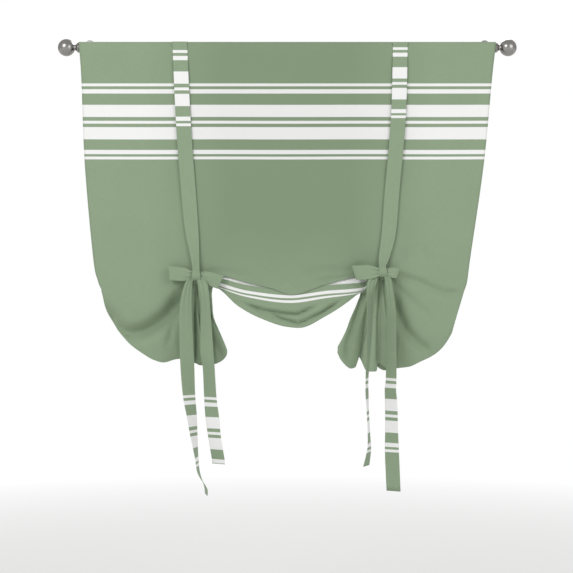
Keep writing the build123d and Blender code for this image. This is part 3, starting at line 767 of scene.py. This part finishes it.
# Each bow: places as (x, z), and along a run or a tail as (x, z, width seen from the front)
bows = {
    "left": {
        "knot": (-231.5, -584.5),
        "top": -275.5,
        # the height at which the first stripe starts, and how long the pattern shows there
        "topStart": -9.5,
        "topScale": 1.0,
        "hemStarts": (-889, -894),
        "hemScale": 0.925,
        "run": [(-265, -206, 38), (-251, -391, 38), (-243, -477, 34), (-235, -540, 22)],
        "frontTail": [
            (-250, -605, 17), (-257.5, -667, 29), (-254, -789, 34), (-249, -886, 29), (-242, -939, 23),
            (-237, -986, 16), (-230, -1042, 6), (-224, -1085, 2), (-207, -1122, -9), (-205, -1141, -8),
        ],
        "backTail": [
            (-215.5, -606, 26), (-208, -667, 26), (-204, -776, 34), (-199, -819, 31), (-195, -892, 32),
            (-190, -944, 35), (-184, -996, 33), (-175, -1050, 33), (-174, -1063, 33),
        ],
        # each loop: its end's middle, half of the end's width as (x, z), and how far it stands open
        "loops": [((-300, -580), (-1.4, 17.5), 3.0), ((-170, -603), (8, 16.5), 3.5)],
    },
    "right": {
        "knot": (242.5, -576),
        "top": 288.0,
        "topStart": -2.3,
        "topScale": 0.93,
        "hemStarts": (-846, -846),
        "hemScale": 0.964,
        "run": [(284, -184, 38), (268, -368, 38), (259, -477, 37), (247, -538, 28)],
        "frontTail": [
            (217, -598, 24), (209, -640, 16), (209, -700, 15), (202, -843, 9), (202, -886, 9),
            (204, -932, 7), (207, -996, 8), (207, -1028, 12), (200, -1068, 17),
        ],
        "backTail": [
            (256, -598, 17), (262, -660, 21), (263, -700, 22), (263, -840, 24), (261, -874, 26),
            (263, -911, 29), (264, -972, 30), (265, -1035, 34), (269, -1132, 34),
        ],
        "loops": [((170, -579), (-6, 18), 10.0), ((282, -580), (4.5, 13), 6.0)],
    },
}


def ribbon(stations, step, bands):
    # a ribbon runs through stations: (x, y, z, its half width as x, y and z, the pleats' depth).
    # The pleats lift the cloth by depth * cos(half turns over the width), along the ribbon's normal
    table = through(np.array(stations, float), [step] * (len(stations) - 1))
    v = np.linspace(-1, 1, strap["across"])
    middle = table[:, :3]
    half = np.stack([table[:, 3], table[:, 4], table[:, 5]], axis=-1)
    along = np.gradient(middle, axis=0)
    normal = np.cross(half, along)
    normal /= np.linalg.norm(normal, axis=-1, keepdims=True) + 1e-9
    wave = np.cos(strap["folds"] * math.pi * (v + strap["foldShift"])) * (1 - 0.5 * np.abs(v) ** 6)
    lift = (table[:, 6:7] * wave)[..., None]
    points = middle[:, None] + half[:, None] * v[:, None] + normal[:, None] * lift
    length = np.concatenate([[0], np.cumsum(np.linalg.norm(np.diff(middle, axis=0), axis=-1))])
    spread = np.broadcast_to(v * strap["width"] / 2, points.shape[:2])
    uv = np.stack([spread, np.broadcast_to(length[:, None], points.shape[:2])], axis=-1)
    values = {}
    for name, (start, scale) in zip(("topBand", "hemBand"), bands):
        values[name] = (start - points[..., 2]) * scale * mm
    return points * mm, uv * mm, values


def runStations(bow):
    # over the rod, down the front, and once round the knot
    knotX, knotZ = bow["knot"]
    top, half = bow["top"], strap["width"] / 2
    front = strap["knotPlace"] - strap["knotDepth"] / 2
    back = strap["knotPlace"] + strap["knotDepth"] / 2
    stations = [
        (top, rodDepth + 2, 14.8, half, 0, 0, 0),
        (top, rodDepth - 9, 12.4, half, 0, 0, 0),
        (top, rodDepth - 16, 6.0, half, 0, 0, 0),
        (top + 1, strap["lie"], -6, half, 0, 0, 0),
    ]
    for (x, z, seen), (y, pleats) in zip(bow["run"], strap["runDepths"]):
        stations.append((x, y, z, seen / 2, 0, 0, pleats))
    stations += [
        (knotX - 0.5, front + 3.5, knotZ + 14.5, 9, 0, 0, 1.0),
        (knotX, front - 1, knotZ + 5, 10, 0, 0, 0.7),
        (knotX, front - 1, knotZ - 5, 11, 0, 0, 0.7),
        (knotX, front + 4, knotZ - 12.5, 11, 0, 0, 0.6),
        (knotX, back - 3, knotZ - 12, 10, 0, 0, 1.0),
        (knotX, back, knotZ, 10, 0, 0, 1.0),
        (knotX, back - 3, knotZ + 11, 9, 0, 0, 1.0),
    ]
    return stations


def backStations(bow):
    # over the rod, down behind the panel, and forward under the gathered cloth to the knot
    knotX, knotZ = bow["knot"]
    (upperX, upperZ, upperSeen), (lowerX, lowerZ, lowerSeen) = bow["run"][0], bow["run"][2]
    top, half = bow["top"], strap["width"] / 2
    back, knot = strap["backPlace"], strap["knotPlace"]
    return [
        (top, rodDepth + 7, 14.6, half, 0, 0, 0),
        (top, rodDepth + 15, 10.0, half, 0, 0, 0),
        (top, back, -6, half, 0, 0, 0),
        (upperX, back, upperZ, half, 0, 0, 0),
        (lowerX, back, lowerZ, half - 2, 0, 0, 0.8),
        (knotX, back, knotZ + 14, 7, 0, 0, 2),
        (knotX, back - 10, knotZ - 22, 6, 0, 0, 2),
        (knotX, knot + 14, knotZ - 20, 6, 0, 0, 2),
        (knotX + 3, knot + 1, knotZ - 6, 6, 0, 0, 2),
        (knotX + 3, knot, knotZ + 6, 6, 0, 0, 2),
    ]


def loopStations(bow, number):
    # out from the knot in front, round the end, and back behind it
    knotX, knotZ = bow["knot"]
    (endX, endZ), (leanX, leanZ), thick = bow["loops"][number]
    rootX, rootZ = knotX + (8 if number else -8), knotZ - 1
    stations = []
    for part, wide, rise, pleats in strap["loop"]:
        x, z = between(rootX, endX, part), between(rootZ, endZ, part)
        bulge = rise * thick * (1 if 0 < part < 1 else 0.7)
        y = strap["knotPlace"] + bulge
        stations.append((x, y, z, leanX * wide * part, 0, leanZ * wide, pleats))
    return stations


def tailStations(bow, name, turn):
    # down from the knot; what the front view doesn't show of the width lies in depth, turned either way
    knotX, knotZ = bow["knot"]
    aside = 7 if name == "backTail" else -7
    stations = [(knotX + aside, strap["knotPlace"] + 1, knotZ - 5, 5, 0, 0, 1.6)]
    depths = np.linspace(strap["knotPlace"] - 8, strap["tailPlace"], len(strap["tailOpens"]))
    half = strap["width"] / 2
    for number, (x, z, seen) in enumerate(bow[name]):
        first = min(number, len(depths) - 1)
        pleats, opened = strap["tailOpens"][first]
        deep = math.sqrt(max(half**2 - (seen / 2) ** 2, 0)) * opened
        stations.append((x, depths[first], z, seen / 2, turn * deep, 0, pleats))
    return stations


def makeStraps():
    step, none = strap["step"], strap["noBand"]
    for side, bow in bows.items():
        onTop = (bow["topStart"], 1 / bow["topScale"])
        hems = [(start, 1 / bow["hemScale"]) for start in bow["hemStarts"]]
        pieces = {
            "front": [
                ribbon(runStations(bow), step, (onTop, none)),
                ribbon(loopStations(bow, 0), step, (none, none)),
                ribbon(tailStations(bow, "frontTail", 1), step, (none, hems[0])),
            ],
            "back": [
                ribbon(backStations(bow), step, (onTop, none)),
                ribbon(loopStations(bow, 1), step, (none, none)),
                ribbon(tailStations(bow, "backTail", -1), step, (none, hems[1])),
            ],
        }
        for name, grids in pieces.items():
            node = f"{side}_{name}_strap"
            made = sheetMesh(f"{side}{name.capitalize()}Strap", grids, strapMaterial, strap["thickness"])
            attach(made, "carrier")
            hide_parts(node)


makeStraps()
print("straps done")


# The floor and the white world, in metres. The floor turns white from and to these distances
stage = {
    "floorHeight": -1.62,
    "floorSize": 12.0,
    "floorColour": (0.86, 0.86, 0.85, 1),
    "floorRoughness": 0.8,
    "fade": (1.8, 4.0),
    "worldLevel": 0.62,
}


def makeStage():
    # a pale floor that turns white far away, where the camera sees it, and a white world behind
    size, z = stage["floorSize"], stage["floorHeight"]
    mesh = bpy.data.meshes.new("floor")
    corners = [(-size, -size, z), (size, -size, z), (size, size, z), (-size, size, z)]
    mesh.from_pydata(corners, [], [(0, 1, 2, 3)])
    floor = bpy.data.objects.new("floor", mesh)
    scene.collection.objects.link(floor)
    material = bpy.data.materials.new("paleFloor")
    tree = Tree(material)
    place = tree.node("ShaderNodeTexCoord", {}, {}, out=3)
    far = tree.node("ShaderNodeVectorMath", {"operation": "LENGTH"}, {0: place}, out=1)
    seen = tree.node("ShaderNodeLightPath", {}, {}, out=0)
    share = far.ramp(*stage["fade"]) * seen.most(seen.output("Is Glossy Ray"))
    white = tree.node("ShaderNodeEmission", {}, {"Color": (1, 1, 1, 1), "Strength": 1.0})
    pale = {"Base Color": stage["floorColour"], "Roughness": stage["floorRoughness"]}
    pale = tree.node("ShaderNodeBsdfPrincipled", {}, pale)
    tree.end(tree.node("ShaderNodeMixShader", {}, {0: share, 1: pale, 2: white}))
    mesh.materials.append(material)
    world = bpy.data.worlds.new("world")
    scene.world = world
    tree = Tree(world)
    seen = tree.node("ShaderNodeLightPath", {}, {}, out=0)
    seen = seen.most(seen.output("Is Transmission Ray"))
    level = seen * (1.0 - stage["worldLevel"]) + stage["worldLevel"]
    sky = tree.node("ShaderNodeBackground", {}, {"Color": (1, 1, 1, 1), "Strength": level})
    tree.end(sky, "ShaderNodeOutputWorld")


lamps = [
    # name, place, point looked at, size, power
    ("keyLamp", (-1.6, -2.6, 1.0), (0, -0.1, -0.5), 1.4, 39.5),
    ("fillLamp", (1.9, -2.2, 0.4), (0, -0.1, -0.5), 1.6, 18.6),
    ("rimLamp", (0.6, 1.8, 1.2), (0, 0, -0.5), 1.0, 20.0),
]


def makeLamps():
    # soft square lamps, each turned to the point that it lights
    for name, place, target, size, power in lamps:
        data = bpy.data.lights.new(name, "AREA")
        data.size = size
        data.energy = power
        lamp = bpy.data.objects.new(name, data)
        scene.collection.objects.link(lamp)
        lamp.location = place
        lamp.rotation_euler = (Vector(target) - Vector(place)).to_track_quat("-Z", "Y").to_euler()


makeStage()
makeLamps()
print("stage done")
